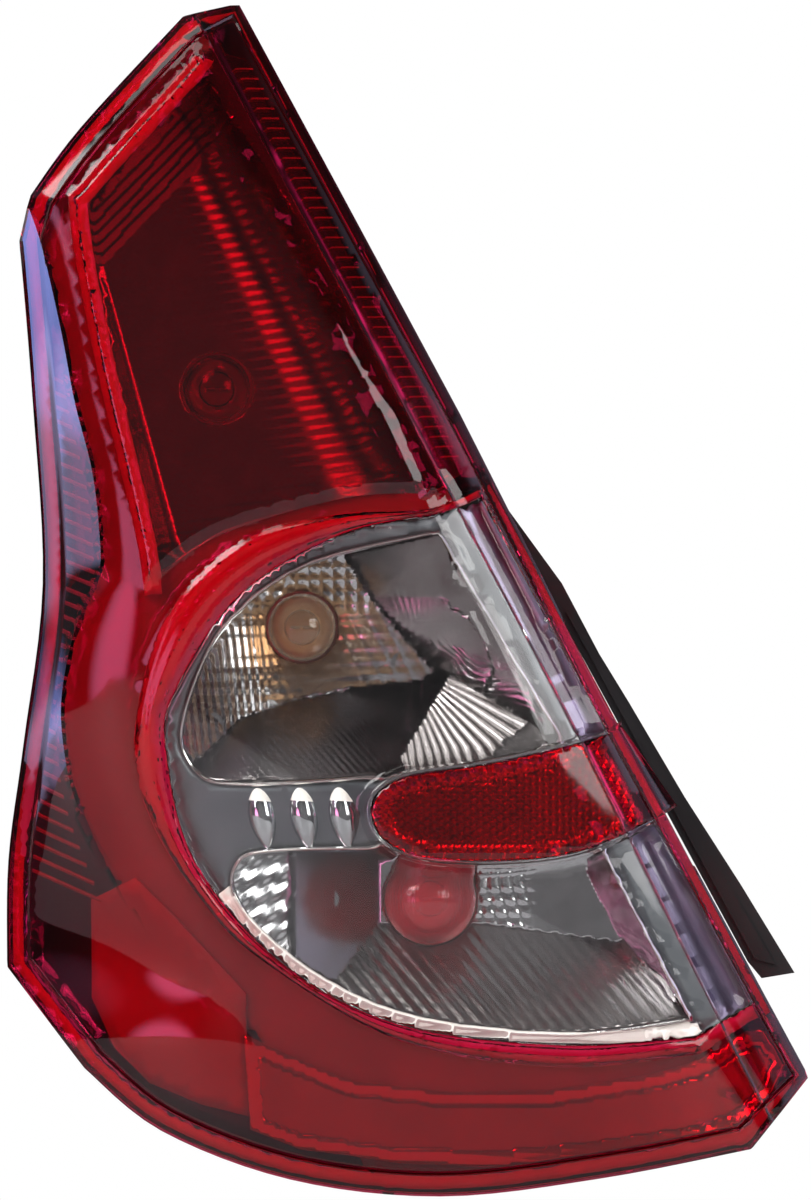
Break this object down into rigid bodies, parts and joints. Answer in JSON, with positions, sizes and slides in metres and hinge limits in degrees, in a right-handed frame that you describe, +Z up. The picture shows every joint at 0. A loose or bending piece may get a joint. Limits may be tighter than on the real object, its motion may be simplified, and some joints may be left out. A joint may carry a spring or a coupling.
{
  "type": "tail light cluster",
  "caption": "Tall leaning car tail lamp: a red and clear lens over mirror reflectors and bulbs, sealed to a black housing with rear studs.",
  "frame": {"origin": "midway between the two fixing studs, on the plane where the housing seats on the car body", "axes": "+Z up, -Y out through the lens, towards the rear of the car, +X to the right as the lens is seen from behind the car"},
  "size_m": [0.2916, 0.1209, 0.4322],
  "materials": {
    "red_lens": "clear red moulded plastic",
    "clear_lens": "clear moulded plastic",
    "reflex_red": "red prisms",
    "bezel_grey": "dark metallic",
    "bright_trim": "polished",
    "mirror_plastic": "vapour-coated mirror",
    "pink_optic": "pale red ribbed plastic",
    "red_cap": "clear red plastic",
    "housing_black": "black moulded plastic",
    "sealant": "cured adhesive",
    "carrier_plastic": "pale moulded plastic",
    "seal_rubber": "matt",
    "sleeve_steel": "plated",
    "contact_brass": "stamped",
    "amber_glass": "amber",
    "cap_brass": "nickel-plated",
    "tungsten": "wire",
    "bulb_glass": "clear",
    "zinc_steel": "zinc plated",
    "foam": "closed-cell foam"
  },
  "bodies": {
    "root": {"lens_red": "red_lens", "lens_clear": "clear_lens", "tongue_reflex_plate": "reflex_red", "lower_reflex_plate": "reflex_red", "bezel": "bezel_grey", "gill_inserts": "bright_trim", "indicator_reflector": "mirror_plastic", "fog_reflector": "mirror_plastic", "stop_reflector": "mirror_plastic", "side_diffuser": "pink_optic", "fog_filter": "red_cap", "housing": "housing_black", "sealant_bead": "sealant", "bulb_carrier": "carrier_plastic", "carrier_gasket": "seal_rubber", "indicator_socket": "sleeve_steel", "fog_socket": "sleeve_steel", "stop_socket": "sleeve_steel", "contact_tracks": "contact_brass", "connector_terminals": "contact_brass", "indicator_bulb_glass": "amber_glass", "indicator_bulb_cap": "cap_brass", "indicator_bulb_filament": "tungsten", "fog_bulb_glass": "bulb_glass", "fog_bulb_cap": "cap_brass", "fog_bulb_filament": "tungsten", "stop_bulb_glass": "bulb_glass", "stop_bulb_cap": "cap_brass", "stop_bulb_filament": "tungsten", "fixing_studs": "zinc_steel", "body_gasket": "foam", "vent_cap": "seal_rubber", "reflector_screws": "zinc_steel"}
  },
  "joints": []
}
